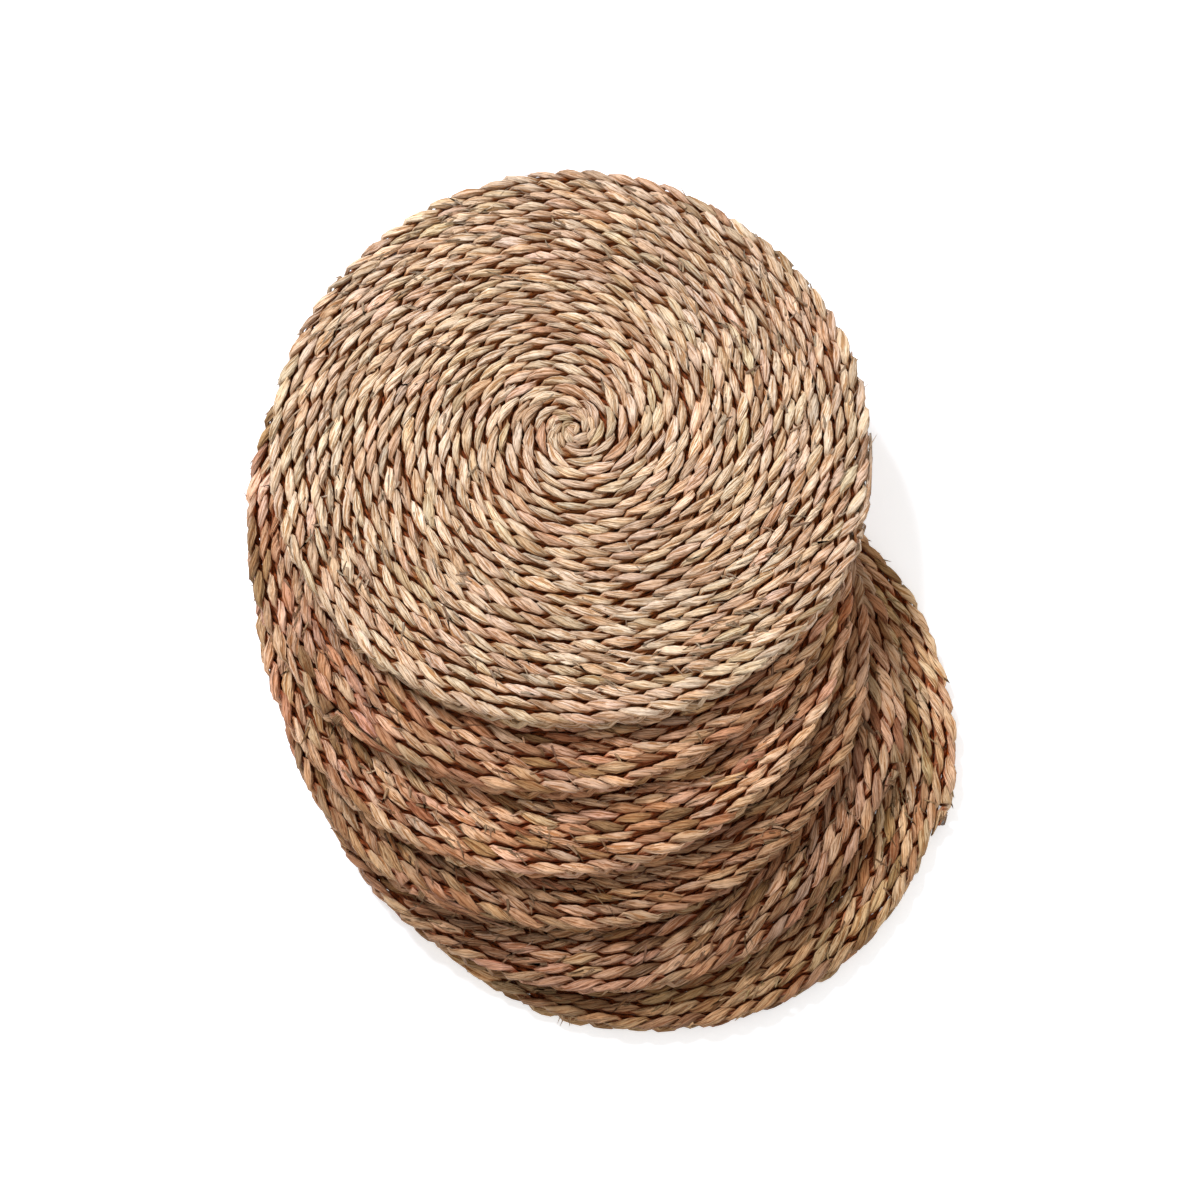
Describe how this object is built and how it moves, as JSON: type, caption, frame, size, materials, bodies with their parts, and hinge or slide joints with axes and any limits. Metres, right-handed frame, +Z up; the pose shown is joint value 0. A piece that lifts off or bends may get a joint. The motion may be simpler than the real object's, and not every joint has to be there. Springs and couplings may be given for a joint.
{
  "type": "pile of chair seat pads",
  "caption": "Fanned pile of flat round chair seat pads, each a seagrass plait wound on edge in a spiral and sewn with twine; every pad lifts off the one under it.",
  "frame": {"origin": "centre of the pile's outline seen from above, at the level of the bottom pad's underside", "axes": "+Z up through the pile; +Y the way the pads step back from the bottom pad to the top pad; +X to the side on which the bottom pad sticks out"},
  "size_m": [0.4523, 0.5524, 0.0915],
  "materials": {
    "top_seagrass": "dry plaited seagrass, matt with a faint waxy sheen",
    "second_seagrass": "dry plaited seagrass, matt with a faint waxy sheen",
    "third_seagrass": "dry plaited seagrass, matt with a faint waxy sheen",
    "fourth_seagrass": "dry plaited seagrass, matt with a faint waxy sheen",
    "fifth_seagrass": "dry plaited seagrass, matt with a faint waxy sheen",
    "bottom_seagrass": "dry plaited seagrass, matt with a faint waxy sheen",
    "twine": "matt twisted twine"
  },
  "bodies": {
    "bottom_pad": {"bottom_pad_plait": "bottom_seagrass", "bottom_pad_start": "bottom_seagrass", "bottom_pad_sewing_twine": "twine", "bottom_pad_tail": "bottom_seagrass", "bottom_pad_tail_whipping": "twine"},
    "fifth_pad": {"fifth_pad_plait": "fifth_seagrass", "fifth_pad_start": "fifth_seagrass", "fifth_pad_sewing_twine": "twine", "fifth_pad_tail": "fifth_seagrass", "fifth_pad_tail_whipping": "twine"},
    "fourth_pad": {"fourth_pad_plait": "fourth_seagrass", "fourth_pad_start": "fourth_seagrass", "fourth_pad_sewing_twine": "twine", "fourth_pad_tail": "fourth_seagrass", "fourth_pad_tail_whipping": "twine"},
    "third_pad": {"third_pad_plait": "third_seagrass", "third_pad_start": "third_seagrass", "third_pad_sewing_twine": "twine", "third_pad_tail": "third_seagrass", "third_pad_tail_whipping": "twine"},
    "second_pad": {"second_pad_plait": "second_seagrass", "second_pad_start": "second_seagrass", "second_pad_sewing_twine": "twine", "second_pad_tail": "second_seagrass", "second_pad_tail_whipping": "twine"},
    "top_pad": {"top_pad_plait": "top_seagrass", "top_pad_start": "top_seagrass", "top_pad_sewing_twine": "twine", "top_pad_tail": "top_seagrass", "top_pad_tail_whipping": "twine"}
  },
  "joints": [
    {"name": "lift_fifth_pad", "type": "slide", "parent": "bottom_pad", "child": "fifth_pad", "axis": [0, 0, 1], "range_m": [0, 0.05]},
    {"name": "lift_fourth_pad", "type": "slide", "parent": "fifth_pad", "child": "fourth_pad", "axis": [0, 0, 1], "range_m": [0, 0.05]},
    {"name": "lift_third_pad", "type": "slide", "parent": "fourth_pad", "child": "third_pad", "axis": [0, 0, 1], "range_m": [0, 0.05]},
    {"name": "lift_second_pad", "type": "slide", "parent": "third_pad", "child": "second_pad", "axis": [0, 0, 1], "range_m": [0, 0.05]},
    {"name": "lift_top_pad", "type": "slide", "parent": "second_pad", "child": "top_pad", "axis": [0, 0, 1], "range_m": [0, 0.05]}
  ]
}
